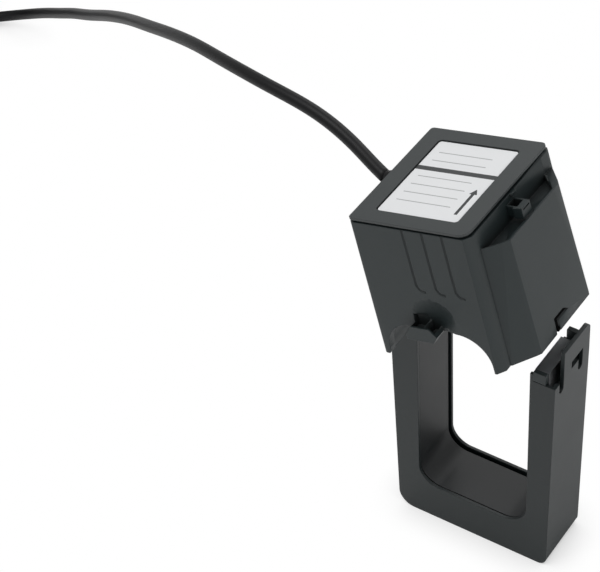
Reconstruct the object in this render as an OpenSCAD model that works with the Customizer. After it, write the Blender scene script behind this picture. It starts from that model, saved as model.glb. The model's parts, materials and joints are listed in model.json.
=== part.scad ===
// Split-core current transformer: a hinged upper housing over a U-shaped lower frame.
// Units are millimetres. +Z is up, +X runs across the window, the front is at -Y.
// The origin is the middle of the lower frame's bottom face.

/* [Window and lower frame] */
// Clear width of the window between the two legs
window_w = 44; // [40:1:48]
// Height of the window floor above the base
window_floor = 16; // [14:0.5:19]
// Radius of the window's lower left corner
window_r = 8; // [4:0.5:12]
// Radius of the window's lower right corner
window_rr = 10; // [4:0.5:12]
// Width of the frame at its base
frame_w = 61; // [60.5:0.5:64]
// Depth of the frame, front to rear
frame_d = 24; // [23.5:0.5:28]
// Height of the frame's shell
frame_h = 90.7; // [80:0.1:100]
// Radius of the frame's lower left corner
frame_r = 6.5; // [3:0.5:9]
// Radius of the frame's lower right corner
frame_rr = 3.5; // [2:0.5:9]
// Outward lean of the left leg, mm per mm of height
lean_left = 0.024; // [0:0.002:0.03]
// Outward lean of the right leg, mm per mm of height
lean_right = 0.012; // [0:0.002:0.02]
// Wall of the frame on its two sides
frame_wall = 1.5; // [1:0.1:1.8]
// Wall of the frame at front, rear and base
skin_wall = 1.1; // [0.8:0.1:1.3]
// Thickness of the window liner
liner_t = 0.5; // [0.4:0.1:0.6]
// Gap between the liner and the front lip of the window
liner_front = 0.7; // [0.1:0.1:1.5]
// Gap between the liner and the rear lip of the window
liner_rear = 1.6; // [0.1:0.1:2.5]
// Recess of the liner behind the window's lips
liner_inset = 0.4; // [0.2:0.1:0.5]

/* [Magnetic core] */
// Thickness of the core strip
core_t = 5.2; // [4:0.1:5.4]
// Width of the core, front to rear
core_w = 17.7; // [14:0.1:18]
// Shift of the core's middle to the front
core_shift = 1.35; // [0.5:0.05:1.5]
// Gap between the core and the liner
core_gap = 0.1; // [0.05:0.05:0.2]
// Outer corner radius of the core
core_r = 8; // [6:0.5:9]
// Height of the core's lower face above the base
core_base = 3.4; // [3:0.1:5]
// Rise of the right pole above the shell
pole_rise = 4.3; // [2:0.1:5]
// Clearance round the right pole where it enters the housing
mouth_gap = 0.5; // [0.4:0.05:0.7]
// Gap between the two poles when closed
pole_gap = 0.3; // [0.2:0.05:0.6]
// Length of the carrier's clip round the right leg of the core
clip_l = 28; // [20:1:34]

/* [Latch] */
// Thickness of the latch loop
latch_t = 1.5; // [1.2:0.1:1.6]
// Height of the latch loop above the shell
latch_rise = 11.8; // [9:0.1:14]
// Width of the latch loop, front to rear
latch_w = 17.9; // [15:0.1:18.5]
// Height of the opening in the latch loop
latch_window = 3.2; // [2.5:0.1:4.5]
// Depth of the two relief slots below the shell's top
slot_depth = 5.2; // [3:0.1:8]
// Width of the relief slots
slot_w = 3; // [2:0.1:3.5]
// Height of the hook that the loop snaps over
hook_h = 4.1; // [3.6:0.1:4.6]
// Width of the hook, front to rear
hook_w = 6.4; // [5:0.1:6.8]

/* [Hinge] */
// Depth of the hinge axis below the shell's top
hinge_drop = 1.7; // [1.2:0.1:2.7]
// Distance of the hinge axis from the middle
hinge_x = 33; // [33:0.1:34]
// Outer radius of the hinge knuckles
knuckle_r = 2.7; // [2.4:0.1:2.9]
// Radius of the hinge pin
pin_r = 1.25; // [1:0.05:1.4]
// Length of the hinge pin
pin_l = 18; // [14:0.5:20]
// Width of the middle knuckle
arm_w = 9; // [6:0.5:10]
// Running clearance of the pin in the middle knuckle
pin_clear = 0.05; // [0.02:0.01:0.1]
// Clearance between the knuckles and round them
hinge_clear = 0.35; // [0.3:0.05:0.5]
// Opening angle of the upper housing as it stands
open_angle = 15; // [0:1:60]

/* [Upper housing] */
// Width of the main box of the housing
body_w = 46; // [45.5:0.1:47]
// Depth of the housing, front to rear
body_d = 52.8; // [50:0.2:58]
// Height of the housing from its open edge to the lid's top
body_h = 55.4; // [53:0.2:60]
// Distance from the middle to the housing's left side
body_left = 23.4; // [23.2:0.1:24]
// Corner radius of the housing
body_r = 1.2; // [0.6:0.1:2.4]
// Draft of the housing's sides from the lid to the open edge
body_draft = 1; // [0:0.1:1.4]
// Wall of the housing
body_wall = 1.8; // [1.4:0.1:2.2]
// Width of the arch across the housing
arch_w = 41; // [38:0.5:41.5]
// Height of the arch above the open edge
arch_h = 13.9; // [11:0.1:15]
// Corner radius of the arch
arch_r = 11.5; // [6:0.5:12]
// Thickness of the arch's front and rear walls
arch_lip = 2.2; // [1.5:0.1:3]
// Step of the arch's inner surface behind those walls
arch_step = 0.6; // [0.2:0.1:0.8]
// Wall outside the right pole
pole_wall = 1.6; // [1.6:0.1:2.2]
// How far the left bulge stands out from the box
bulge_left = 7.8; // [7:0.1:8]
// Half width of the left bulge
bulge_left_y = 12.5; // [12.5:0.1:14]
// Depth of the ledge on the right bulge below the lid's top
ledge_drop = 8.4; // [7.4:0.1:8.6]
// Depth of the trough in the ledge
trough_d = 2.1; // [1:0.1:2.2]
// Width of the trough's outer lip
trough_lip = 1; // [0.8:0.1:1.6]
// Length of the grip grooves
groove_l = 24; // [16:1:28]
// Distance between the grip grooves
groove_pitch = 7.65; // [6:0.05:8]

/* [Lid and label] */
// Thickness of the lid
lid_t = 1.7; // [1.4:0.1:2.2]
// Width of the lid
lid_w = 45.6; // [44:0.1:46]
// Thickness of the lid's overhanging edge
lid_edge = 0.9; // [0.8:0.1:1.2]
// Radius of the lid's front right corner
lid_r = 4; // [2:0.5:6]
// Depth of the label's recess
label_drop = 0.7; // [0.4:0.1:1]
// Thickness of the label
label_t = 0.3; // [0.1:0.05:0.5]
// Width of the label across the lid
label_w = 31; // [26:0.5:33]
// Length of the label, front to rear
label_l = 40; // [34:0.5:42]
// Clearance round the label
label_gap = 0.45; // [0.2:0.05:0.8]
// Height of the rib that locates the lid
lid_rib = 1.4; // [1:0.1:2]

/* [Winding] */
// Distance of the former from the housing's left side
former_left = 10; // [9:0.5:12]
// Clearance of the former to the housing's right wall
former_right = 2.8; // [0.5:0.1:8]
// Build of the winding over the former
coil_build = 5.5; // [3:0.1:6]
// Wall of the former
former_t = 1; // [0.8:0.1:1.4]
// Flange thickness of the former
flange_t = 1.2; // [1:0.1:1.6]

/* [Cable] */
// Outer diameter of the cable
cable_d = 4.7; // [4.2:0.1:5]
// Height of the cable's exit below the lid's top
cable_drop = 4.6; // [4.5:0.1:5.5]
// Place of the cable's exit, front to rear
cable_y = 1.9; // [0:0.1:4]
// Wall of the cable's grommet
grommet_t = 0.9; // [0.6:0.1:1]
// Length of the grommet outside the housing
grommet_l = 4; // [3:0.1:4.5]
// Diameter of the coil of cable at the middle of its turns
coil_mid = 52; // [48:1:56]
// Number of turns side by side in the coil
coil_rows = 4; // [3:1:5]

/* [Output] */
// Which node to draw

/* [Hidden] */
$fn = 48;
eps = 0.01;
wx = window_w / 2;
fd = frame_d / 2;
xl0 = -frame_w / 2;
xr0 = frame_w / 2;
cav_y = fd - skin_wall;
hinge_z = frame_h - hinge_drop;
// core
core_in = wx + liner_inset + liner_t + core_gap;
core_out = core_in + core_t;
core_y0 = -core_w / 2 - core_shift;
core_y1 = core_w / 2 - core_shift;
pole_z = frame_h + pole_rise;
left_pole_z = frame_h - 0.3;
// body, closed pose
closed_gap = 0.3;
open_z = frame_h + closed_gap;
top_z = open_z + body_h;
arch_x0 = (body_w - arch_w) / 2 - 0.5;
arch_x1 = arch_x0 + arch_w;
bd = body_d / 2;
cx_in = core_in + body_left;
cx_out = core_out + body_left;
cl_in = -core_in + body_left;
cl_out = -core_out + body_left;
yoke_top = -12.2;
yoke_bot = yoke_top - core_t;
box_top = -lid_t - 0.1;
cav_bot = -body_h + arch_h + body_wall;
arm_y = arm_w / 2;
key_y = arm_y + hinge_clear;
swing_r = knuckle_r + hinge_clear + 0.05;
bulge_r = cx_out + pole_wall;
groove_x0 = body_w / 2 - 2.5;
arch_top = arch_h - body_h;
ledge_z = -ledge_drop;
trough_z = -ledge_drop - trough_d;
// latch
latch_x = xr0 + lean_right * frame_h;
loop_y1 = fd;
loop_y0 = fd - latch_w;
hole_y1 = fd - 4.7;
hole_y0 = hole_y1 - 8;
hook_y0 = hole_y0 + 0.1;
// winding
former_x0 = former_left;
former_x1 = body_w - body_wall - former_right;
coil_l = former_x1 - former_x0 - 2 * flange_t;
cable_x = -body_left;
coil_c = [-392.5, 146];
coil_half = coil_rows * cable_d / 2;
tie_t = 0.4;
coil_z = tie_t + 0.05;

// Cable's route in the standing pose
route = [[-41.3, 1.9, 141.4], [-44, 2.3, 141.3], [-47, 3.6, 141.9], [-53, 6.8, 143], [-59, 9, 144],
    [-65, 11, 145], [-71, 12.5, 146], [-79, 14, 147], [-88, 15.5, 147], [-99, 17.5, 146.5],
    [-112, 21.5, 144.5], [-126, 27.5, 140.5], [-144, 37, 133.5], [-164, 48.5, 123], [-186, 62, 109.5],
    [-208, 77, 94.5], [-232, 93.3, 76.5], [-258, 110.3, 56], [-276, 121.3, 43], [-291, 129.5, 32],
    [-302.5, 135.4, 24], [-313, 140.2, 16.8], [-322, 143.2, 11], [-330, 144.2, 6.8],
    [-337.3, 142.8, 4.2], [-343.8, 139, 3], [-350.5, 134.4, 2.8], [-356.8, 130.2, 2.8],
    [-363.5, 125.6, 2.8]];

// Turns a closed-pose shape of the upper housing to the standing pose
module opened()
{
    translate([-hinge_x, 0, hinge_z])
        rotate([0, -open_angle, 0])
            translate([hinge_x, 0, -hinge_z])
                children();
}

// Upper housing's own frame: x from its left side, z = 0 at the lid's top
module upper()
{
    opened()
        translate([-body_left, 0, top_z])
            children();
}

// Extrudes a front-view profile from y0 to y1
module through(y0, y1)
{
    translate([0, y1, 0])
        rotate([90, 0, 0])
            linear_extrude(y1 - y0)
                children();
}

module rounded(w, h, r)
{
    translate([r, 0])
        square([w - 2 * r, h]);
    translate([0, r])
        square([w, h - 2 * r]);
    for (x = [r, w - r])
        for (y = [r, h - r])
            translate([x, y])
                circle(r);
}

module cyl_y(r, y0, y1, x, z)
{
    translate([x, y1, z])
        rotate([90, 0, 0])
            cylinder(r = r, h = y1 - y0);
}

// Front view of the frame, drawn in by t from its sides and b from its base
module frame_profile(t, b, h)
{
    r = frame_r - t;
    q = frame_rr - t;
    polygon([[xl0 + t + r, b], [xr0 - t - q, b], [xr0 + lean_right * frame_rr - t, b + q],
        [xr0 + lean_right * h - t, h], [xl0 - lean_left * h + t, h],
        [xl0 - lean_left * frame_r + t, b + r]]);
    translate([xl0 - lean_left * frame_r + t + r, b + r])
        circle(r);
    translate([xr0 + lean_right * frame_rr - t - q, b + q])
        circle(q);
}

// Front view of the window, grown by g
module window_profile(g, h)
{
    r = window_r + g;
    q = window_rr + g;
    x = wx + g;
    z = window_floor - g;
    polygon([[-x + r, z], [x - q, z], [x, z + q], [x, h], [-x, h], [-x, z + r]]);
    translate([-x + r, z + r])
        circle(r);
    translate([x - q, z + q])
        circle(q);
}

// Lower frame's shell with the latch loop and the outer hinge knuckles
module frame_shell()
{
    color([0.26, 0.28, 0.29])
        difference() {
            union() {
                through(-fd, fd)
                    frame_profile(0, 0, frame_h);
                // short lips at the front and rear of the right leg's top
                translate([wx, -fd, frame_h - 1])
                    cube([1.2, skin_wall, 4.2]);
                // latch loop
                translate([latch_x - latch_t, loop_y0, frame_h - 1])
                    cube([latch_t, latch_w, latch_rise + 1]);
                for (s = [-1, 1])
                    cyl_y(knuckle_r, min(s * key_y, s * pin_l / 2), max(s * key_y, s * pin_l / 2),
                        -hinge_x, hinge_z);
            }
            // window
            through(-fd - 1, fd + 1)
                window_profile(0, frame_h + 5);
            // channel for the core, closed on the window side by the liner
            difference() {
                through(-cav_y, cav_y)
                    frame_profile(frame_wall, skin_wall, frame_h + 5);
                // keep the outer knuckles whole
                for (s = [-1, 1])
                    cyl_y(knuckle_r, min(s * key_y, s * pin_l / 2), max(s * key_y, s * pin_l / 2),
                        -hinge_x, hinge_z);
            }
            // room for the middle knuckle
            cyl_y(swing_r, -key_y, key_y, -hinge_x, hinge_z);
            // pin bores
            cyl_y(pin_r, -fd, fd, -hinge_x, hinge_z);
            // latch loop's opening and its rounded rear corner
            translate([latch_x - latch_t - 1, hole_y0, frame_h + 0.3])
                cube([latch_t + 2, hole_y1 - hole_y0, latch_window]);
            translate([latch_x - latch_t - 1, loop_y1 - 2.5, frame_h + latch_rise - 2.5])
                difference() {
                    cube([latch_t + 2, 3, 3]);
                    rotate([0, 90, 0])
                        cylinder(r = 2.5, h = latch_t + 2);
                }
            // relief slots beside the loop
            for (y = [loop_y0 - slot_w, hole_y1 - slot_w])
                relief_slot(y);
        }
}

module relief_slot(y)
{
    translate([latch_x - latch_t - 1, y, frame_h - slot_depth + slot_w / 2])
        cube([latch_t + 2, slot_w, slot_depth - slot_w / 2 + 1]);
    translate([latch_x - latch_t - 1, y + slot_w / 2, frame_h - slot_depth + slot_w / 2])
        rotate([0, 90, 0])
            cylinder(r = slot_w / 2, h = latch_t + 2);
}

// Strip that closes the channel on the window side
module window_liner()
{
    g0 = liner_inset;
    g1 = liner_inset + liner_t;
    color([0.2, 0.21, 0.22]) {
        through(-cav_y + liner_front, cav_y - liner_rear)
            difference() {
                window_profile(g1, frame_h - 0.2);
                window_profile(g0, frame_h + 1);
            }
        // ribs that press on the core's yoke
        for (i = [-2:2])
            translate([i * 6 - 0.5, core_y0, core_base + core_t + 0.1])
                cube([1, core_w, window_floor - g1 - core_base - core_t]);
    }
}

// Front view of a U-shaped core, open to the top
module core_u(z0, zl, zr)
{
    ri = core_r - core_t;
    difference() {
        union() {
            translate([-core_out, z0 + core_r])
                square([core_out, zl - z0 - core_r]);
            translate([0, z0 + core_r])
                square([core_out, zr - z0 - core_r]);
            translate([-core_out + core_r, z0])
                square([2 * (core_out - core_r), core_r + 1]);
            for (s = [-1, 1])
                translate([s * (core_out - core_r), z0 + core_r])
                    circle(core_r);
        }
        translate([-core_in, z0 + core_t + ri])
            square([2 * core_in, zl + zr]);
        translate([-core_in + ri, z0 + core_t])
            square([2 * (core_in - ri), ri + 1]);
        for (s = [-1, 1])
            translate([s * (core_in - ri), z0 + core_t + ri])
                circle(ri);
    }
}

// U-shaped strip-wound core in the lower frame
module lower_core()
{
    color([0.62, 0.63, 0.64])
        through(core_y0, core_y1)
            core_u(core_base, left_pole_z, pole_z);
}

// Clip that holds the right leg of the core, with two guide tabs
module core_carrier()
{
    x0 = core_out - 5;
    x1 = core_out - 0.3;
    plate_x = core_out + 0.1;
    z0 = frame_h - clip_l - 4.7;
    neck = clip_l + 5.7;
    color([0.12, 0.13, 0.13]) {
        // plate behind the core
        translate([plate_x, -cav_y + 0.1, z0])
            cube([1.1, 2 * cav_y - 0.2, clip_l]);
        // front skirt and tab
        translate([x0, -cav_y + 0.1, z0])
            cube([plate_x - x0 + 1, 0.45, clip_l]);
        translate([x0, -cav_y + 0.1, z0])
            cube([x1 - x0, 0.45, neck]);
        translate([x0, -fd, frame_h + 0.3])
            cube([x1 - x0, skin_wall + 0.55, 4.2]);
        // rear block and tab
        translate([x0 + 0.6, core_y1 + 0.1, z0])
            cube([plate_x - x0, cav_y - core_y1 - 0.2, clip_l]);
        translate([x0 + 0.6, fd - 2, z0])
            cube([x1 - x0 - 0.6, cav_y - fd + 1.9, neck]);
        translate([x0 + 0.6, fd - 2, frame_h + 0.3])
            cube([x1 - x0 - 0.6, 2, 5.5]);
    }
}

// Leaf spring under the core's yoke
module core_spring()
{
    z0 = skin_wall;
    z1 = core_base;
    color([0.75, 0.76, 0.78])
        through(-6, 6)
            polygon([[-15, z0], [-13, z0], [-6, z1 - 0.3], [6, z1 - 0.3], [13, z0], [15, z0],
                [13.2, z0 + 0.3], [6, z1], [-6, z1], [-13.2, z0 + 0.3]]);
}

// Steel pin of the hinge
module hinge_pin()
{
    color([0.7, 0.71, 0.73])
        cyl_y(pin_r, -pin_l / 2 - 0.2, pin_l / 2 + 0.2, -hinge_x, hinge_z);
}

// Corner of a plan round [x, y], from direction a on
function corner(x, y, a) = [for (t = [0:30:90]) [x + body_r * cos(a + t), y + body_r * sin(a + t)]];

// Plan of the main box, grown by k on its free sides
module box_plan(k)
{
    polygon(concat(
        corner(body_r - k, body_r - bd - k, 180),
        [[body_w - 2.2, -bd - k], [body_w, -bd - k + 2.6], [body_w, bd + k - 1.2], [body_w - 1, bd + k]],
        corner(body_r - k, bd + k - body_r, 90)));
}

// Main box with the draft of its sides
module box_solid()
{
    hull() {
        translate([0, 0, -body_h])
            linear_extrude(eps)
                box_plan(body_draft);
        translate([0, 0, box_top - eps])
            linear_extrude(eps)
                box_plan(0);
    }
}

// Plan of the right bulge; k moves its outer corners to the rear and front
module bulge_plan(k)
{
    polygon([[40, -bd + 4.6], [body_w + 0.4, -bd + 4.6 + k * 0.7], [bulge_r - 1.1, -bd + 10.9 - k * 0.8],
        [bulge_r, -bd + 12.4 - k], [bulge_r, bd - 8.2 - k * 2.4], [bulge_r - 1.1, bd - 6.6 - k * 2.4],
        [body_w + 0.4, bd - 1.6 - k * 0.6], [40, bd - 1.6]]);
}

// Right bulge, slightly wider at the open edge
module bulge_solid()
{
    hull() {
        translate([0, 0, -body_h])
            linear_extrude(eps)
                bulge_plan(-0.3);
        translate([0, 0, box_top - eps])
            linear_extrude(eps)
                bulge_plan(0.7);
    }
}

module arch_profile(g)
{
    r = arch_r + g;
    x0 = arch_x0 - g;
    x1 = arch_x1 + g;
    zt = -body_h + arch_h + g;
    // the left side follows the draft of the wall outside it
    polygon([[x0 - body_draft, -body_h - 1], [x1, -body_h - 1], [x1, zt - r], [x0, zt - r]]);
    translate([x0 + r, -body_h - 1])
        square([x1 - x0 - 2 * r, zt + body_h + 1]);
    for (x = [x0 + r, x1 - r])
        translate([x, zt - r])
            circle(r);
}

// Upper housing
module housing()
{
    color([0.26, 0.28, 0.29])
        upper() {
            difference() {
                union() {
                    box_solid();
                    bulge_solid();
                    // left bulge over the left pole
                    translate([-bulge_left, -bulge_left_y, -body_h])
                        cube([bulge_left + 1, 2 * bulge_left_y, body_h - 8.5]);
                    hinge_arm();
                }
                // inside, above the arch
                translate([body_wall, -bd + body_wall, cav_bot])
                    cube([body_w - 2 * body_wall, body_d - 2 * body_wall, body_h]);
                // arch and its wider middle part
                through(-bd - 3, bd + 3)
                    arch_profile(0);
                through(-bd + arch_lip, bd - arch_lip)
                    arch_profile(arch_step);
                core_room();
                trough();
                hook_pocket();
                for (m = [0, 1])
                    mirror([0, m, 0]) {
                        stud_scoop();
                        stud_pockets();
                        for (i = [0:2])
                            grip_groove(groove_x0 + i * groove_pitch);
                    }
                // room for the outer knuckles, and the pin's bore
                for (s = [-1, 1])
                    cyl_y(swing_r, min(s * arm_y, s * pin_l / 2 + s * 0.6),
                        max(s * arm_y, s * pin_l / 2 + s * 0.6), body_left - hinge_x, hinge_z - top_z);
                cyl_y(pin_r + pin_clear, -pin_l, pin_l, body_left - hinge_x, hinge_z - top_z);
                // cable's way out
                translate([-1, cable_y, -cable_drop])
                    rotate([0, 90, 0])
                        cylinder(d = cable_d + 2 * grommet_t - 0.6, h = body_wall + 2);
            }
            for (m = [0, 1])
                mirror([0, m, 0])
                    tie_stud();
            wall_lug();
        }
}

// Middle knuckle and its web up to the left bulge
module hinge_arm()
{
    hx = body_left - hinge_x;
    hz = hinge_z - top_z;
    cyl_y(knuckle_r, -arm_y, arm_y, hx, hz);
    through(-arm_y, arm_y)
        polygon([[hx - 1.8, hz + 1.9], [hx + 3.4, hz + 2.4], [hx + 3.4, hz + 13], [hx + 1.8, hz + 13]]);
}

// Rooms for the core in the two bulges
module core_room()
{
    c = 0.2;
    zt = yoke_top + 0.6;
    // right leg, and the wider mouth for the guide tabs
    translate([cx_in - c, core_y0 - c, -body_h - 1])
        cube([core_t + 2 * c, core_w + 2 * c, body_h + 1 + zt]);
    translate([cx_in - 1.6, -fd - 0.4, -body_h - 1])
        cube([core_t + 1.6 + mouth_gap, frame_d + 0.8, 7.2]);
    // left leg
    translate([cl_out - c, core_y0 - c, -body_h - 1])
        cube([core_t + 2 * c, core_w + 2 * c, body_h + 1 + zt]);
    // yoke through both walls
    translate([cl_out + 3, core_y0 - c, yoke_bot - 3])
        cube([cx_out - cl_out - 6, core_w + 2 * c, core_t + 3.6]);
}

// Ledge on the right bulge under the lid, with the trough in it
module trough()
{
    translate([0, 0, ledge_z])
        linear_extrude(20)
            polygon([[body_w, -bd - 3], [body_w + 20, -bd - 3], [body_w + 20, 0], [bulge_r + 0.1, bd - 13.1],
                [bulge_r - 0.5, bd - 12.6], [body_w + 1.2, bd - 6.2], [body_w, bd - 6]]);
    translate([0, 0, trough_z])
        linear_extrude(20)
            polygon([[body_w, -bd + 5.8], [body_w + 0.5, -bd + 5.8], [bulge_r - 1.6, -bd + 10.7],
                [bulge_r - trough_lip, -bd + 11.6], [bulge_r - trough_lip, bd - 12.2], [body_w, bd - 6.3]]);
}

// Hollow lug on the right wall above the trough, and the small rib under the lid
module wall_lug()
{
    difference() {
        through(-4, 1.5)
            polygon([[body_w - 0.3, trough_z - 0.3], [body_w + 5.2, trough_z - 0.3], [body_w + 5.5, ledge_z],
                [body_w + 5.5, -3.8], [body_w + 4.9, -3.2], [body_w + 3, -3.2], [body_w - 0.3, -4.6]]);
        translate([body_w + 0.5, -3.3, -7.4])
            cube([2.7, 4.2, 8]);
        // slot near the top of the outer face
        translate([body_w + 5.1, -3.4, -4.4])
            cube([1, 4.3, 0.45]);
    }
    translate([body_w - 0.3, -0.2, -3])
        cube([1, 3, 3 + box_top]);
}

// Shallow scoop in the front wall round the tie's stud
module stud_scoop()
{
    translate([24, -bd - 27.3, arch_top + 5])
        sphere(28);
}

// Two pockets in the stud's top, which run a little way into the wall
module stud_pockets()
{
    translate([16, -bd - 3.8, arch_top + 0.2])
        cube([5.2, 4.5, 5]);
    translate([22, -bd - 3.8, arch_top - 0.6])
        cube([3.2, 4.5, 4.6]);
}

// Hollow stud on the front face for the wire tie
module tie_stud()
{
    difference() {
        through(-bd - 4.6, -bd + 0.9)
            polygon([[13.9, arch_top - 2.3], [24.4, arch_top - 2.3], [26.3, arch_top + 0.4],
                [23.6, arch_top + 3.2], [16.5, arch_top + 3.2], [14, arch_top + 0.1]]);
        // pockets in its top
        stud_pockets();
        // arch
        through(-bd - 2, bd)
            translate([0, -1.2])
                arch_profile(0);
    }
}

// Pocket that sinks toward the hook on the right side
module hook_pocket()
{
    z1 = hook_h - body_h;
    difference() {
        hull() {
            side_plate(bulge_r, 0.5, [[-3.4, -body_h - 1], [-3.4, z1 + 2.5], [3.3, z1 + 2.2],
                [5.9, z1 + 0.1], [5.9, z1 - 1], [0, -body_h - 1]]);
            side_plate(bulge_r - 0.8, eps, [[-2.2, -body_h - 1], [-2.2, z1 + 1.3], [4.1, z1 + 1.3],
                [5.7, z1], [5.7, z1 - 1], [0, -body_h - 1]]);
        }
        translate([bulge_r - 3, hook_y0, -body_h - 2])
            cube([5, hook_w + 3, hook_h + 2]);
    }
}

// Plate seen from the right, from x on and t thick
module side_plate(x, t, p)
{
    translate([x, 0, 0])
        rotate([90, 0, 90])
            linear_extrude(t)
                polygon(p);
}

// One J-shaped grip groove on the front
module grip_groove(x)
{
    y0 = -bd - 0.2;
    y1 = y0 - 0.4;
    z1 = -groove_l + 1;
    groove_leg([x, y0, -1.4], [x, y1, z1]);
    groove_leg([x, y1, z1], [x + 0.9, y1, -groove_l - 1]);
    groove_leg([x + 0.9, y1, -groove_l - 1], [x + 3.1, y1, -groove_l - 1.8]);
}

module groove_leg(a, b)
{
    d = b - a;
    translate(a) {
        sphere(0.45, $fn = 24);
        rotate([0, acos(d[2] / norm(d)), atan2(d[1], d[0])])
            cylinder(r = 0.45, h = norm(d), $fn = 24);
    }
    translate(b)
        sphere(0.45, $fn = 24);
}

// Outline of the lid with its larger front right corner, drawn in by t
module lid_outline(t)
{
    e = body_r;
    a = t;
    b = lid_w - t;
    polygon([[e, t - bd], [lid_w - lid_r, t - bd], [b, lid_r - bd], [b, bd - 2], [lid_w - 2, bd - t],
        [e, bd - t], [a, bd - e], [a, e - bd]]);
    translate([e, e - bd])
        circle(e - t);
    translate([e, bd - e])
        circle(e - t);
    translate([lid_w - lid_r, lid_r - bd])
        circle(lid_r - t);
    translate([lid_w - 2, bd - 2])
        circle(2 - t);
}

// Lid over the housing
module lid()
{
    lx = (lid_w - label_w) / 2;
    color([0.3, 0.32, 0.33])
        upper()
            difference() {
                union() {
                    translate([0, 0, -lid_edge])
                        linear_extrude(lid_edge)
                            lid_outline(0);
                    // foot of the lid, drawn in so that a groove runs under its edge
                    translate([0, 0, -lid_t])
                        linear_extrude(lid_t)
                            lid_outline(0.8);
                    // rib that drops into the housing
                    translate([body_wall + 0.2, -bd + body_wall + 0.2, -lid_t - lid_rib])
                        linear_extrude(lid_rib + 0.1)
                            difference() {
                                square([lid_w - 2 * body_wall - 0.4, body_d - 2 * body_wall - 0.4]);
                                translate([1.2, 1.2])
                                    square([lid_w - 2 * body_wall - 2.8, body_d - 2 * body_wall - 2.8]);
                            }
                }
                // label's recess
                translate([0, 0, -label_drop])
                    linear_extrude(1)
                        translate([lx - label_gap, -label_l / 2 - label_gap])
                            rounded(label_w + 2 * label_gap, label_l + 2 * label_gap, 1.5);
                // gap for the cable
                translate([-1, cable_y - cable_d / 2 - grommet_t, -lid_t - lid_rib - 1])
                    cube([6, cable_d + 2 * grommet_t, lid_rib + 1]);
            }
}

// Bare label
module label()
{
    lx = (lid_w - label_w) / 2;
    color([0.9, 0.9, 0.9])
        upper()
            translate([0, 0, -label_drop])
                linear_extrude(label_t)
                    translate([lx, -label_l / 2])
                        rounded(label_w, label_l, 1);
}

// U-shaped strip-wound core in the upper housing
module upper_core()
{
    zr = pole_z + pole_gap;
    color([0.62, 0.63, 0.64])
        opened()
            through(core_y0, core_y1)
                translate([0, top_z + yoke_top])
                    mirror([0, 1])
                        core_u(0, top_z + yoke_top - open_z, top_z + yoke_top - zr);
}

module yoke_ring(o, x0, l, t)
{
    // ring round the yoke, o outside the core and t thick
    y0 = core_y0 - o;
    z0 = yoke_bot - o;
    translate([x0, 0, 0])
        rotate([90, 0, 90])
            linear_extrude(l)
                difference() {
                    translate([y0 - t, z0 - t])
                        rounded(core_w + 2 * o + 2 * t, core_t + 2 * o + 2 * t, min(2, t + 0.4));
                    translate([y0, z0])
                        square([core_w + 2 * o, core_t + 2 * o]);
                }
}

// Former on the yoke that carries the winding
module former()
{
    color([0.85, 0.84, 0.8])
        upper() {
            yoke_ring(0.2, former_x0, former_x1 - former_x0, former_t);
            for (x = [former_x0, former_x1 - flange_t])
                yoke_ring(0.2, x, flange_t, former_t + coil_build + 0.6);
        }
}

// Secondary winding
module winding()
{
    color([0.72, 0.38, 0.2])
        upper()
            yoke_ring(0.2 + former_t, former_x0 + flange_t, coil_l, coil_build);
}

// Tape over the middle of the winding
module winding_tape()
{
    color([0.85, 0.75, 0.2])
        upper()
            yoke_ring(0.2 + former_t + coil_build, former_x0 + flange_t + coil_l / 4, coil_l / 2, 0.3);
}

// Foam pad between the yoke and the lid's left end
module core_pad()
{
    color([0.3, 0.3, 0.3])
        upper()
            translate([body_wall + 0.4, core_y0 + 1, cav_bot])
                cube([5, core_w - 2, yoke_bot - cav_bot]);
}

// One lead from the cable down to the winding
module lead(s)
{
    y = cable_y + s * 1.1;
    x = former_x0 - 1.2;
    color([0.8, 0.8, 0.8])
        upper() {
            translate([5.9, y, -cable_drop])
                rotate([0, 90, 0])
                    cylinder(r = 0.7, h = x - 5.9);
            translate([x, y, -cable_drop])
                sphere(0.7);
            translate([x, y, -cable_drop])
                rotate([-s * 90, 0, 0])
                    cylinder(r = 0.7, h = 9);
        }
}

// Crimped sleeve that joins a lead to the winding's end
module sleeve(s)
{
    y = cable_y + s * 10.1;
    color([0.2, 0.3, 0.6])
        upper()
            translate([former_x0 - 1.2, y, -cable_drop])
                rotate([-s * 90, 0, 0])
                    cylinder(r = 1.1, h = 5);
}

// Clamp round the cable's end inside the housing
module cable_clamp()
{
    color([0.15, 0.15, 0.15])
        upper()
            translate([body_wall + 0.3, cable_y - cable_d / 2 - 0.4, -cable_drop - cable_d / 2 - 0.5])
                cube([3.8, cable_d + 0.8, cable_d + 0.4]);
}

// Grommet with a tapered nose, which the cable fills
module cable_grommet()
{
    r = cable_d / 2;
    color([0.05, 0.05, 0.05])
        upper()
            translate([0, cable_y, -cable_drop])
                rotate([0, -90, 0])
                    rotate_extrude()
                        polygon([[0, -body_wall - 0.2], [r + 0.3, -body_wall - 0.2], [r + 0.3, -body_wall],
                            [r + 0.6, -body_wall], [r + 0.6, 0], [r + 0.8, 0], [r + 0.8, 0.8],
                            [r + 0.15, grommet_l], [0, grommet_l]]);
}

// Swept tube along the route
function unit(v) = v / norm(v);
function dir(p, i) = unit(p[min(i + 1, len(p) - 1)] - p[max(i - 1, 0)]);
function side(d) = unit(cross(d, [0, 0, 1]));
function ring(p, i, r, n) = let (d = dir(p, i), a = side(d), b = cross(a, d))
    [for (k = [0:n - 1]) p[i] + r * (cos(k * 360 / n) * a + sin(k * 360 / n) * b)];
function flat(l) = [for (a = l) for (b = a) b];

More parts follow.
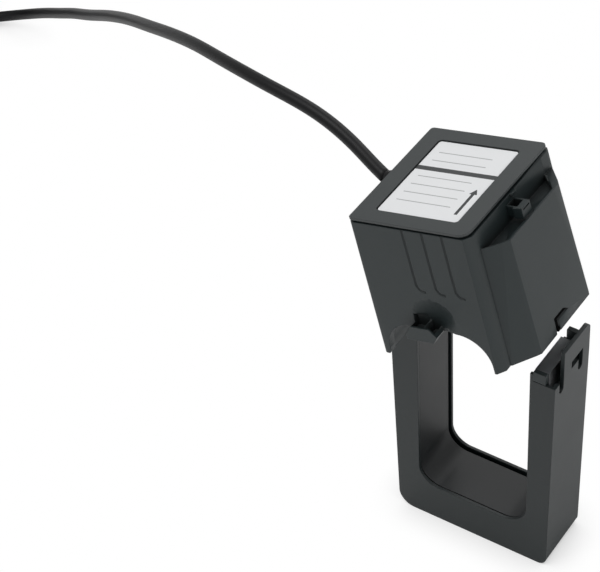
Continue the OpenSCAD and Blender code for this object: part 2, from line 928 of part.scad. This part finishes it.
module cable()
{
    n = 10;
    m = len(route);
    pts = flat([for (i = [0:m - 1]) ring(route, i, cable_d / 2, n)]);
    walls = flat([for (i = [0:m - 2]) [for (k = [0:n - 1])
        [i * n + k, i * n + (k + 1) % n, (i + 1) * n + (k + 1) % n, (i + 1) * n + k]]]);
    cap0 = [[for (k = [n - 1:-1:0]) k]];
    cap1 = [[for (k = [0:n - 1]) (m - 1) * n + k]];
    color([0.05, 0.05, 0.05])
        polyhedron(pts, concat(walls, cap0, cap1));
}

// Neat coil of the rest of the cable
module cable_coil()
{
    color([0.05, 0.05, 0.05])
        translate([coil_c[0], coil_c[1], 0])
            rotate_extrude($fn = 64)
                translate([coil_mid / 2 - coil_half, coil_z])
                    rounded(2 * coil_half, 2 * coil_half, cable_d / 2);
}

// Tie round the coil
module coil_tie()
{
    color([0.1, 0.1, 0.1])
        translate([coil_c[0], coil_c[1] + coil_mid / 2, coil_half + coil_z])
            rotate([0, 90, 0])
                translate([0, 0, -2])
                    linear_extrude(4)
                        difference() {
                            square(2 * (coil_half + tie_t), center = true);
                            square(2 * coil_half + 0.02, center = true);
                        }
}

frame_shell();
window_liner();
lower_core();
core_carrier();
core_spring();
hinge_pin();
housing();
lid();
label();
upper_core();
former();
winding();
winding_tape();
core_pad();
lead(-1);  // lead_front
lead(1);  // lead_rear
sleeve(-1);  // sleeve_front
sleeve(1);  // sleeve_rear
cable_clamp();
cable_grommet();
cable();
cable_coil();
coil_tie();
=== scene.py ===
import json
import math
import bmesh
import bpy
import numpy as np
from mathutils import Matrix, Vector


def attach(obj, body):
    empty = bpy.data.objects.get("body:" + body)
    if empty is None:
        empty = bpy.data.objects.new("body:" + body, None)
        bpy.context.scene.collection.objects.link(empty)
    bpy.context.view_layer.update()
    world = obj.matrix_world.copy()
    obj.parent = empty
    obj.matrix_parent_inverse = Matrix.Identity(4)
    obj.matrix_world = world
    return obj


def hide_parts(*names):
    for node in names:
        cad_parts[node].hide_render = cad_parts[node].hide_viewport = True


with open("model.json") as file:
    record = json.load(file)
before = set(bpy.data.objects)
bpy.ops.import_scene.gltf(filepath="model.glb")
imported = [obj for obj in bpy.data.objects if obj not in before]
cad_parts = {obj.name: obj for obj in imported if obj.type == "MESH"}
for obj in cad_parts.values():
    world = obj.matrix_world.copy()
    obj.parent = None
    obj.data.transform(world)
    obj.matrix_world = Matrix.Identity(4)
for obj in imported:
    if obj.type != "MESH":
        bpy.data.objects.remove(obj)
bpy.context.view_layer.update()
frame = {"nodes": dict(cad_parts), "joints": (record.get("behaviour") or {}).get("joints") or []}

mm = 0.001
nodes = frame["nodes"]
print("frame loaded:", len(nodes), "solids")


cameraSettings = {
    "place": (0.2782, -0.4933, 0.6501),
    "turn": 30.17,
    "height": 42.77,
    "roll": 0.235,
    "lens": 140.585,
    "shift": (-0.2819, -0.0474),
}


def makeCamera(s):
    data = bpy.data.cameras.new("camera")
    data.sensor_width = 36
    data.sensor_fit = "HORIZONTAL"
    data.lens = s["lens"]
    data.shift_x, data.shift_y = s["shift"]
    data.clip_start = 0.05
    cam = bpy.data.objects.new("camera", data)
    bpy.context.scene.collection.objects.link(cam)
    turn = Matrix.Rotation(math.radians(s["turn"]), 4, "Z")
    tip = Matrix.Rotation(math.radians(90 - s["height"]), 4, "X")
    roll = Matrix.Rotation(math.radians(s["roll"]), 4, "Z")
    cam.matrix_world = Matrix.Translation(s["place"]) @ turn @ tip @ roll
    bpy.context.scene.camera = cam
    return cam


makeCamera(cameraSettings)
print("camera placed")


class Sock:
    # wraps one socket, so that sums on it add Math nodes
    def __init__(self, tree, out):
        self.tree = tree
        self.out = out

    def step(self, operation, *others):
        n = self.tree.nodes.new("ShaderNodeMath")
        n.operation = operation
        for i, v in enumerate((self,) + others):
            if isinstance(v, Sock):
                self.tree.links.new(v.out, n.inputs[i])
            else:
                n.inputs[i].default_value = v
        return Sock(self.tree, n.outputs[0])

    def flip(self, operation, other):
        n = self.tree.nodes.new("ShaderNodeMath")
        n.operation = operation
        n.inputs[0].default_value = other
        self.tree.links.new(self.out, n.inputs[1])
        return Sock(self.tree, n.outputs[0])

    def __add__(self, o): return self.step("ADD", o)
    def __radd__(self, o): return self.step("ADD", o)
    def __mul__(self, o): return self.step("MULTIPLY", o)
    def __rmul__(self, o): return self.step("MULTIPLY", o)
    def __sub__(self, o): return self.step("SUBTRACT", o)
    def __rsub__(self, o): return self.flip("SUBTRACT", o)
    def __truediv__(self, o): return self.step("DIVIDE", o)
    def __pow__(self, o): return self.step("POWER", o)
    def __lt__(self, o): return self.step("LESS_THAN", o)
    def __gt__(self, o): return self.step("GREATER_THAN", o)
    def absolute(self): return self.step("ABSOLUTE")
    def most(self, o): return self.step("MAXIMUM", o)

    def clamped(self):
        r = self.step("ADD", 0.0)
        r.out.node.use_clamp = True
        return r


class Finish:
    # one material and its node tree
    def __init__(self, name):
        self.mat = bpy.data.materials.new(name)
        self.mat.use_nodes = True
        self.tree = self.mat.node_tree
        self.skin = self.tree.nodes["Principled BSDF"]

    def node(self, kind, settings=None, stops=None, out=0, **inputs):
        # settings first, then values or links on the sockets by name
        n = self.tree.nodes.new("ShaderNode" + kind)
        for k, v in (settings or {}).items():
            setattr(n, k, v)
        if stops:
            ramp = n.color_ramp
            while len(ramp.elements) < len(stops):
                ramp.elements.new(0.5)
            for e, (at, colour) in zip(ramp.elements, stops):
                e.position = at
                e.color = colour
        for k, v in inputs.items():
            self.feed(n.inputs[k.replace("_", " ")], v)
        return Sock(self.tree, n.outputs[out])

    def feed(self, socket, v):
        if isinstance(v, Sock):
            self.tree.links.new(v.out, socket)
        else:
            socket.default_value = v

    def skinFeed(self, **inputs):
        for k, v in inputs.items():
            self.feed(self.skin.inputs[k.replace("_", " ")], v)

    def place(self):
        return self.node("TexCoord", out=3)

    def noise(self, scale, detail=3.0, roughness=0.55, vector=None):
        return self.node("TexNoise", Vector=vector or self.place(), Scale=scale, Detail=detail,
                         Roughness=roughness)

    def blend(self, factor, a, b):
        n = self.tree.nodes.new("ShaderNodeMix")
        n.data_type = "RGBA"
        for socket, v in ((n.inputs[0], factor), (n.inputs[6], a), (n.inputs[7], b)):
            self.feed(socket, v)
        return Sock(self.tree, n.outputs[2])

    def bump(self, height, strength, distance, edge=0.0):
        # edge is the radius that moulded or deburred corners show
        if edge:
            soft = self.node("Bevel", {"samples": 6}, Radius=edge)
            return self.node("Bump", Height=height, Strength=strength, Distance=distance, Normal=soft)
        return self.node("Bump", Height=height, Strength=strength, Distance=distance)

    def crevice(self, reach):
        # 1 on open faces, towards 0 in grooves and inner corners of the same piece; it drives the painted
        # shade in the plastics
        return self.node("AmbientOcclusion", {"only_local": True, "samples": 8}, out=1, Distance=reach)


def shade(c, k):
    return (c[0] * k, c[1] * k, c[2] * k, 1.0)


def plastic(name, colour, rough, grain=2600.0, strength=0.12, spread=0.10, edge=0.0, reach=0.0, creviceShade=0.25,
            specular=0.5):
    # moulded plastic: slight mottling, uneven gloss, a fine spark-eroded grain, and painted shade in its
    # crevices
    f = Finish(name)
    cloud = f.noise(45.0, 4.0)
    fine = f.noise(grain, 2.0)
    tone = f.blend(cloud, shade(colour, 1 - spread), shade(colour, 1 + spread))
    matt = (rough - 0.05) + cloud * 0.08 + fine * 0.06
    if reach:
        # painted shade: the base colour darkens in grooves and inner corners by ambient occlusion within
        # the reach, and the roughness rises there
        unshaded = f.crevice(reach)
        tone = f.blend((unshaded ** 1.5).clamped(), shade(colour, creviceShade), tone)
        matt = matt + (1 - unshaded) * 0.25
    f.skinFeed(Base_Color=tone, Roughness=matt, Specular_IOR_Level=specular,
               Normal=f.bump(fine, strength, 0.00012, edge))
    return f.mat


def steel(name, colour, rough, along=(1.0, 1.0, 90.0)):
    # wound or rolled steel: fine lines along one direction
    f = Finish(name)
    stretched = f.node("Mapping", Vector=f.place(), Scale=along)
    lines = f.noise(220.0, 3.0, vector=stretched)
    cloud = f.noise(60.0, 3.0)
    f.skinFeed(Base_Color=f.blend(lines, shade(colour, 0.8), shade(colour, 1.1)), Metallic=1.0,
               Roughness=rough + lines * 0.12 + cloud * 0.05, Normal=f.bump(lines, 0.2, 0.0001))
    return f.mat


plasticSettings = {
    "shell": (0.0095, 0.0165, 0.0175),
    "frame": (0.0062, 0.0112, 0.012),
    "lid": (0.036, 0.042, 0.043),
    "dark": (0.012, 0.014, 0.015),
    "jacket": (0.004, 0.0042, 0.0048),
    "label": (0.78, 0.79, 0.80),
    "ink": (0.045, 0.048, 0.05),
    "edge": 0.00035,
    # reach of the painted crevice shade, in metres
    "reach": 0.006,
}


def shellPlastic(name, colour, rough):
    return plastic(name, colour, rough, edge=plasticSettings["edge"], reach=plasticSettings["reach"])


shellFinish = shellPlastic("shellPlastic", plasticSettings["shell"], 0.42)
frameFinish = shellPlastic("framePlastic", plasticSettings["frame"], 0.42)
lidFinish = shellPlastic("lidPlastic", plasticSettings["lid"], 0.40)
darkFinish = shellPlastic("darkPlastic", plasticSettings["dark"], 0.45)
jacketFinish = plastic("cableJacket", plasticSettings["jacket"], 0.40, grain=1500.0, strength=0.05,
                       specular=0.25)
# near-black finish: painted shade for the dark sheet in the hook's slot
slotShadeFinish = plastic("slotShadow", (0.003, 0.003, 0.003), 0.9, specular=0.05)
formerFinish = plastic("formerPlastic", (0.62, 0.60, 0.50), 0.45)
tapeFinish = plastic("tapeFilm", (0.62, 0.40, 0.06), 0.30, strength=0.03)
foamFinish = plastic("foam", (0.04, 0.04, 0.04), 0.85, grain=900.0, strength=0.5)
leadFinish = plastic("leadJacket", (0.6, 0.6, 0.58), 0.40)
sleeveFinish = plastic("sleevePlastic", (0.05, 0.09, 0.28), 0.30)
coreFinish = steel("coreSteel", (0.30, 0.31, 0.32), 0.22)
pinFinish = steel("pinSteel", (0.55, 0.55, 0.56), 0.25, along=(1.0, 60.0, 1.0))
springFinish = steel("springSteel", (0.50, 0.50, 0.52), 0.30, along=(60.0, 1.0, 1.0))
wireFinish = steel("windingWire", (0.50, 0.20, 0.08), 0.35, along=(90.0, 1.0, 1.0))

# the upper body's own place: the hinge turns it, and its corner is the closed lid's upper left edge
hinge = frame["joints"][0]
opening = math.radians(-hinge["range_deg"][0])
pivot = np.array(hinge["pos_m"]) / mm


def turned(p, angle):
    # a positive angle closes the body
    x, z = p[:, 0] - pivot[0], p[:, 2] - pivot[2]
    c, n = math.cos(angle), math.sin(angle)
    return np.stack([pivot[0] + x * c + z * n, p[:, 1], pivot[2] - x * n + z * c], -1)


def meshPoints(node):
    co = np.empty(len(node.data.vertices) * 3)
    node.data.vertices.foreach_get("co", co)
    return co.reshape(-1, 3) / mm


closedLid = turned(meshPoints(nodes["lid"]), opening)
bodyCorner = np.array([closedLid[:, 0].min(), 0, closedLid[:, 2].max()])


def standing(p):
    # millimetre points of the upper body's own frame, taken to the rest pose in metres
    return turned(np.asarray(p, float) + bodyCorner, -opening) * mm


labelSettings = {
    "band": (4.9, 1.1),
    "arrow": (35.3, -16.2, -5.0, -2.2),
    "shaft": 0.60,
    "head": 0.55,
    "rows": [14.0, 9.5, 0.5, -4.0, -8.5, -13.0],
    "rowSpan": (10.5, 31.5),
    "line": 0.20,
}


def makeLabelFinish(s):
    # print on the film, worked out in the upper body's own millimetres; no lettering
    f = Finish("labelFilm")
    shift = -np.array(pivot)
    c, n = math.cos(opening), math.sin(opening)
    back = np.array([shift[0] * c + shift[2] * n, 0, -shift[0] * n + shift[2] * c]) + pivot - bodyCorner
    own = f.node("Mapping", Vector=f.place(), Scale=(1 / mm, 1 / mm, 1 / mm), Rotation=(0, opening, 0),
                 Location=tuple(back))
    split = f.tree.nodes.new("ShaderNodeSeparateXYZ")
    f.tree.links.new(own.out, split.inputs[0])
    x, y = Sock(f.tree, split.outputs[0]), Sock(f.tree, split.outputs[1])
    mark = (y - s["band"][0]).absolute() < s["band"][1]
    ax, y0, y1, y2 = s["arrow"]
    off = (x - ax).absolute()
    mark = mark.most((off < s["shaft"]) * (y > y0) * (y < y1))
    mark = mark.most((off < (y2 - y) * s["head"]) * (y > y1))
    inSpan = (x > s["rowSpan"][0]) * (x < s["rowSpan"][1])
    for row in s["rows"]:
        mark = mark.most(((y - row).absolute() < s["line"]) * inSpan * 0.55)
    cloud = f.noise(60.0, 3.0)
    film = f.blend(cloud, shade(plasticSettings["label"], 0.98), shade(plasticSettings["label"], 1.02))
    fine = f.noise(1800.0, 2.0)
    f.skinFeed(Base_Color=f.blend(mark, film, shade(plasticSettings["ink"], 1.0)),
               Roughness=0.4 + mark * 0.08 + cloud * 0.05, Normal=f.bump(fine, 0.03, 0.0001))
    return f.mat


labelFinish = makeLabelFinish(labelSettings)
print("finishes made")

finishOf = {
    "frame_shell": frameFinish, "window_liner": darkFinish, "lower_core": coreFinish,
    "core_carrier": shellFinish, "core_spring": springFinish, "hinge_pin": pinFinish,
    "housing": shellFinish, "lid": lidFinish, "label": labelFinish, "upper_core": coreFinish,
    "former": formerFinish, "winding": wireFinish, "winding_tape": tapeFinish,
    "core_pad": foamFinish, "lead_front": leadFinish, "lead_rear": leadFinish,
    "sleeve_front": sleeveFinish, "sleeve_rear": sleeveFinish, "cable_clamp": darkFinish,
    "cable_grommet": jacketFinish, "coil_tie": darkFinish,
}
for name, finish in finishOf.items():
    for s in nodes[name].material_slots:
        s.material = finish
    if not nodes[name].material_slots:
        nodes[name].data.materials.append(finish)


def gridFaces(rows, cols, wrapCols):
    # quads over a rows x cols grid of points, closed round the columns if asked
    r = np.arange(rows - 1)[:, None]
    c = np.arange(cols if wrapCols else cols - 1)[None, :]
    d = (c + 1) % cols
    return np.stack([r * cols + c, r * cols + d, (r + 1) * cols + d, (r + 1) * cols + c], -1).reshape(-1, 4)


def smoothPath(points, spacing):
    # Catmull-Rom curve through the points, resampled at even spacing
    p = np.vstack([2 * points[0] - points[1], points, 2 * points[-1] - points[-2]])
    u = np.linspace(0, 1, 24, endpoint=False)[:, None]
    spans = []
    for a, b, c, d in zip(p, p[1:], p[2:], p[3:]):
        second = 2 * a - 5 * b + 4 * c - d
        third = 3 * b - a - 3 * c + d
        spans.append(0.5 * (2 * b + (c - a) * u + second * u ** 2 + third * u ** 3))
    q = np.vstack(spans + [points[-1:]])
    return resample(q, spacing)


def resample(q, spacing):
    s = np.concatenate([[0], np.cumsum(np.linalg.norm(np.diff(q, axis=0), axis=1))])
    n = max(2, int(round(s[-1] / spacing)) + 1)
    t = np.linspace(0, s[-1], n)
    return np.stack([np.interp(t, s, q[:, k]) for k in range(3)], -1)


def tube(path, radius, sides):
    # circle of the given radius carried square to the path, with flat ends
    d = np.gradient(path, axis=0)
    d /= np.linalg.norm(d, axis=1)[:, None]
    a = np.cross(d, [0, 0, 1.0])
    a /= np.linalg.norm(a, axis=1)[:, None]
    b = np.cross(a, d)
    t = np.linspace(0, 2 * np.pi, sides, endpoint=False)
    ring = path[:, None, :] + radius * (np.cos(t)[None, :, None] * a[:, None, :]
                                        + np.sin(t)[None, :, None] * b[:, None, :])
    points = np.vstack([ring.reshape(-1, 3), path[:1], path[-1:]])
    n = len(path)
    quads = gridFaces(n, sides, True)
    k = np.arange(sides)
    k2 = (k + 1) % sides
    cap0 = np.stack([np.full(sides, n * sides), k2, k, k], -1)
    cap1 = np.stack([np.full(sides, n * sides + 1), (n - 1) * sides + k, (n - 1) * sides + k2,
                     (n - 1) * sides + k2], -1)
    faces = [list(f) for f in quads] + [list(f[:3]) for f in cap0] + [list(f[:3]) for f in cap1]
    return points, faces


def prism(outline, lo, hi, axis=2):
    # outline in the two other axes in their order, carried from lo to hi along the axis
    o = np.array(outline, float)
    n = len(o)
    ends = [np.insert(o, axis, v, axis=1) for v in (lo, hi)]
    k = np.arange(n)
    sides = [list(q) for q in np.stack([k, (k + 1) % n, (k + 1) % n + n, k + n], -1)]
    return np.vstack(ends), sides + [list(k[::-1]), list(k + n)]


def solid(name, parts):
    # closed mesh of several loose parts, normals outwards
    starts = np.cumsum([0] + [len(points) for points, faces in parts])
    faces = [[int(i) + int(start) for i in f] for start, part in zip(starts, parts) for f in part[1]]
    me = bpy.data.meshes.new(name)
    me.from_pydata(standing(np.vstack([points for points, part in parts])).tolist(), [], faces)
    bm = bmesh.new()
    bm.from_mesh(me)
    bmesh.ops.recalc_face_normals(bm, faces=bm.faces)
    bm.to_mesh(me)
    bm.free()
    return bpy.data.objects.new(name, me)


def carved(ob, cutters):
    # the object's mesh less each cutter, by exact booleans
    scene = bpy.context.scene.collection
    for c in cutters:
        scene.objects.link(c)
        m = ob.modifiers.new("cut", "BOOLEAN")
        m.operation = "DIFFERENCE"
        m.solver = "EXACT"
        m.use_self = True
        m.object = c
    done = bpy.data.meshes.new_from_object(ob.evaluated_get(bpy.context.evaluated_depsgraph_get()))
    ob.modifiers.clear()
    ob.data = done
    for c in cutters:
        bpy.data.objects.remove(c)
    return ob


def dressed(ob, finish, body="upper_body", sharp=30):
    # large flat faces hold their own normals, and the bends between them are smoothed
    ob.data.materials.clear()
    ob.data.materials.append(finish)
    ob.data.shade_smooth()
    ob.data.set_sharp_from_angle(angle=math.radians(sharp))
    even = ob.modifiers.new("evenNormals", "WEIGHTED_NORMAL")
    even.keep_sharp = True
    even.weight = 100
    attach(ob, body)
    return ob


housingSettings = {
    "wall": 46.01,             # just outside the right wall
    "front": 26.4,             # front and rear walls at the lid
    "draft": 0.01805,          # outward slope of those walls
    "ledge": -8.4,
    "trough": -10.5,
    "grooves": (20.5, 7.65, 3),
    "grooveEnd": -24.0,
    "grooveRadius": 0.55,
    "grooveOut": 0.12,         # the groove's middle runs this far outside the wall
    "archTop": -41.5,
    "pocketReach": (0.25, 3.9),
    "pockets": [(15.9, 21.3, 0.5, 5.4), (21.9, 25.3, -0.7, 5.0)],
    "wedge": (9.0, 12.6, 2.0, 1.0),
    "lugRoom": (6.6, -4.3, 1.8, -3.1),
    "lugOutline": [(45.7, -3.5), (48.8, -3.5), (48.8, -4.2), (52.0, -3.7), (52.0, 1.5), (45.7, 1.5)],
    "lugHeights": (-8.3, -4.2),
    "lugHollow": [(46.3, -2.9), (49.9, -2.9), (49.9, 0.9), (46.3, 0.9)],
    "lugFloor": 0.7,
    "lugSlot": (51.55, 52.3, -2.9, 0.9, -5.35, -4.85),
    # outline and depths of the near-black sheet that paints the shade in the hook's slot and under its foot
    "hookSlotShade": [(-2.0, -55.3), (-2.0, -50.0), (3.9, -50.0), (5.3, -51.1), (-0.7, -51.1), (-0.7, -55.3)],
    "hookDepth": (51.95, 52.43),
    "hookFoot": [(-2.0, -55.35), (-0.7, -55.35), (-0.7, -54.2), (-2.0, -54.2)],
    "footDepth": (52.3, 53.05),
}


def gripGroove(s, x, side):
    # J-shaped round cut that follows the wall's draft
    end = s["grooveEnd"]
    path = np.array([(x, 0, -1.2), (x, 0, end + 2), (x + 0.25, 0, end), (x + 0.9, 0, end - 1.2),
                     (x + 1.9, 0, end - 1.75), (x + 3.2, 0, end - 1.9)], float)
    path = smoothPath(path, 0.5)
    path[:, 1] = side * (s["front"] - s["draft"] * path[:, 2] + s["grooveOut"])
    return tube(path, s["grooveRadius"], 12)


def boxAt(x0, x1, y0, y1, z0, z1):
    return prism([(x0, y0), (x1, y0), (x1, y1), (x0, y1)], z0, z1)


def makeHousing(s):
    # the CAD housing with its finer cuts added
    source = nodes["housing"].data
    me = source.copy()
    bm = bmesh.new()
    bm.from_mesh(me)
    bmesh.ops.remove_doubles(bm, verts=bm.verts, dist=1e-6)
    bm.to_mesh(me)
    bm.free()
    ob = bpy.data.objects.new("housingShell", me)
    bpy.context.scene.collection.objects.link(ob)
    wall, front, top = s["wall"], s["front"], s["archTop"]
    first, pitch, count = s["grooves"]
    cutters = []
    for side in (-1, 1):
        cutters.append(solid("grooveCut", [gripGroove(s, first + i * pitch, side) for i in range(count)]))
        y0, y1 = sorted(side * (front + reach) for reach in s["pocketReach"])
        cutters.append(solid("pocketCut", [boxAt(x0, x1, y0, y1, top + z0, top + z1)
                                           for x0, x1, z0, z1 in s["pockets"]]))
    wide, y0, past, over = s["wedge"]
    cutters.append(solid("wedgeCut", [boxAt(wall, wall + wide, y0, front + past, s["ledge"], over)]))
    wide, y0, y1, z1 = s["lugRoom"]
    cutters.append(solid("lugCut", [boxAt(wall, wall + wide, y0, y1, s["trough"], z1)]))
    carved(ob, cutters)
    print("housing cut:", len(ob.data.vertices), "points")
    dressed(ob, shellFinish)
    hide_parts("housing")
    lug = solid("wallLug", [prism(s["lugOutline"], *s["lugHeights"])])
    bpy.context.scene.collection.objects.link(lug)
    low, high = s["lugHeights"]
    carved(lug, [solid("hollowCut", [prism(s["lugHollow"], low + s["lugFloor"], high + 1)]),
                 solid("slotCut", [boxAt(*s["lugSlot"])])])
    dressed(lug, shellFinish)
    # painted shade: a near-black sheet set in the hook's blind pocket and under its foot, where the slot
    # reads dark
    shadeSheet = solid("hookSlotShade", [prism(s["hookSlotShade"], *s["hookDepth"], 0),
                              prism(s["hookFoot"], *s["footDepth"], 0)])
    bpy.context.scene.collection.objects.link(shadeSheet)
    dressed(shadeSheet, slotShadeFinish)


makeHousing(housingSettings)
print("housing dressed")

cableSettings = {
    "diameter": 4.7,
    "length": 3000.0,
    "coilMiddle": (-392.5, 146.0),
    "coilFloor": 0.45,
    "coilMid": 52.0,
    "rows": 4,
    "slope": 75.0,
    "route": [(-41.3, 1.9, 141.4), (-44, 2.3, 141.3), (-47, 3.6, 141.9), (-53, 6.8, 143), (-59, 9, 144),
              (-65, 11, 145), (-71, 12.5, 146), (-79, 14, 147), (-88, 15.5, 147), (-99, 17.5, 146.5),
              (-112, 21.5, 144.5), (-126, 27.5, 140.5), (-144, 37, 133.5), (-164, 48.5, 123),
              (-186, 62, 109.5), (-208, 77, 94.5), (-232, 93.3, 76.5), (-258, 110.3, 56),
              (-276, 121.3, 43), (-291, 129.5, 32), (-302.5, 135.4, 24), (-313, 140.2, 16.8),
              (-322, 143.2, 11), (-330, 144.2, 6.8), (-337.3, 142.8, 4.2), (-343.8, 139, 3),
              (-350.5, 134.4, 2.8), (-356.8, 130.2, 2.8), (-363.5, 125.6, 2.8)],
}


def woundPath(s, heading, length):
    # turns at set radii on each layer; each layer winds the other way across, with short slopes between
    d = s["diameter"]
    rows = s["rows"]
    radii = s["coilMid"] / 2 + d * (np.arange(rows) - (rows - 1) / 2)
    keys = [(0.0, radii[-1], 0)]
    first = 270.0
    at = rows - 1
    side = -1
    for layer in range(rows):
        for k in range(rows - 1):
            keys.append((first + 360 * k, radii[at], layer))
            at += side
            keys.append((first + 360 * k + s["slope"], radii[at], layer))
        climb = first + 360 * (rows - 1) - 60
        keys.append((climb, radii[at], layer))
        keys.append((climb + s["slope"], radii[at], layer + 1))
        first = climb + 300
        side = -side
    keys = np.array(keys[:-1] + [(keys[-2][0] + 720, keys[-2][1], keys[-2][2])])
    phi = np.arange(0, keys[-1, 0], 3.0)
    i = np.clip(np.searchsorted(keys[:, 0], phi, side="right") - 1, 0, len(keys) - 2)
    u = (phi - keys[i, 0]) / (keys[i + 1, 0] - keys[i, 0])
    u = u * u * (3 - 2 * u)
    r = keys[i, 1] + (keys[i + 1, 1] - keys[i, 1]) * u
    z = s["coilFloor"] + d / 2 + d * (keys[i, 2] + (keys[i + 1, 2] - keys[i, 2]) * u)
    a = math.atan2(heading[0], -heading[1]) - np.radians(phi)
    q = np.stack([s["coilMiddle"][0] + r * np.cos(a), s["coilMiddle"][1] + r * np.sin(a), z], -1)
    run = np.concatenate([[0], np.cumsum(np.linalg.norm(np.diff(q, axis=0), axis=1))])
    tail = np.array([np.interp(length, run, q[:, k]) for k in range(3)])
    return np.vstack([q[run < length - 0.5], tail])


def eased(path, rounds):
    # evens out small changes of bend, with both ends held
    q = path.copy()
    for _ in range(rounds):
        q[1:-1] = 0.5 * q[1:-1] + 0.25 * (q[:-2] + q[2:])
    return q


def runOf(path):
    return np.sum(np.linalg.norm(np.diff(path, axis=0), axis=1))


def cordPath(s):
    # hanging stretch, its tangent to the outer turn, then the turns, to the cord's full length
    route = np.array(s["route"], float)
    outer = s["coilMid"] / 2 + s["diameter"] * (s["rows"] - 1) / 2
    toMiddle = np.array(s["coilMiddle"]) - route[-1, :2]
    swing = math.asin(outer / np.hypot(*toMiddle))
    c, n = math.cos(swing), math.sin(swing)
    heading = np.array([[c, -n], [n, c]]) @ toMiddle / np.hypot(*toMiddle)
    foot = [*(np.array(s["coilMiddle"]) + outer * np.array([-heading[1], heading[0]]) * -1),
            s["coilFloor"] + s["diameter"] / 2]
    lead = eased(smoothPath(np.vstack([route, [foot]]), 2.5), 12)
    extra = 0.0
    for _ in range(3):
        coil = woundPath(s, heading, s["length"] + extra - runOf(lead))
        path = eased(resample(np.vstack([lead[:-1], coil]), 2.5), 3)
        extra += s["length"] - runOf(path)
    return path


def makeCable(s):
    path = cordPath(s)
    points, faces = tube(path * mm, s["diameter"] / 2 * mm, 20)
    me = bpy.data.meshes.new("cableJacket")
    me.from_pydata(points.tolist(), [], faces)
    me.shade_smooth()
    me.materials.append(jacketFinish)
    ob = bpy.data.objects.new("cableJacket", me)
    bpy.context.scene.collection.objects.link(ob)
    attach(ob, "upper_body")
    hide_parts("cable", "cable_coil")
    print("cord:", round(runOf(path), 1), "mm in", len(path), "points")
    return ob


makeCable(cableSettings)
print("cable laid")


def makeStage():
    me = bpy.data.meshes.new("floor")
    me.from_pydata([(-4, -4, 0), (4, -4, 0), (4, 4, 0), (-4, 4, 0)], [], [(0, 1, 2, 3)])
    floor = bpy.data.objects.new("floor", me)
    bpy.context.scene.collection.objects.link(floor)
    f = Finish("floorPaper")
    f.skinFeed(Base_Color=(0.9, 0.9, 0.9, 1), Roughness=0.9)
    glow = f.node("Emission", Color=(1, 1, 1, 1), Strength=1.0)
    cameraRay = f.node("LightPath", out=0)
    mix = f.tree.nodes.new("ShaderNodeMixShader")
    # close to the object, ambient occlusion turns the glow down so the lamps' own shading of the floor
    # shows as a contact shadow; where that shade shows is painted
    near = f.node("AmbientOcclusion", {"samples": 12}, out=1, Distance=0.014)
    f.feed(mix.inputs[0], cameraRay * (near * 0.9 + 0.13).clamped())
    f.tree.links.new(f.skin.outputs[0], mix.inputs[1])
    f.tree.links.new(glow.out, mix.inputs[2])
    f.tree.links.new(mix.outputs[0], f.tree.nodes["Material Output"].inputs[0])
    me.materials.append(f.mat)


lampSettings = [
    ("keyLamp", (-0.5, -0.4, 1.4), 0.9, 7.5),
    ("sideLamp", (1.3, -0.2, 0.6), 0.8, 4.0),
    ("backLamp", (-0.3, 1.1, 0.9), 1.0, 4.0),
]


def makeLamps():
    for name, at, size, watts in lampSettings:
        data = bpy.data.lights.new(name, "AREA")
        data.size = size
        data.energy = watts
        lamp = bpy.data.objects.new(name, data)
        bpy.context.scene.collection.objects.link(lamp)
        lamp.location = at
        aim = Vector((0, 0, 0.09)) - Vector(at)
        lamp.rotation_euler = aim.to_track_quat("-Z", "Y").to_euler()
    world = bpy.data.worlds.new("studio")
    bpy.context.scene.world = world
    world.use_nodes = True
    world.node_tree.nodes["Background"].inputs[0].default_value = (1, 1, 1, 1)
    world.node_tree.nodes["Background"].inputs[1].default_value = 0.5


makeStage()
makeLamps()
bpy.context.scene.view_settings.view_transform = "Standard"
print("stage lit")
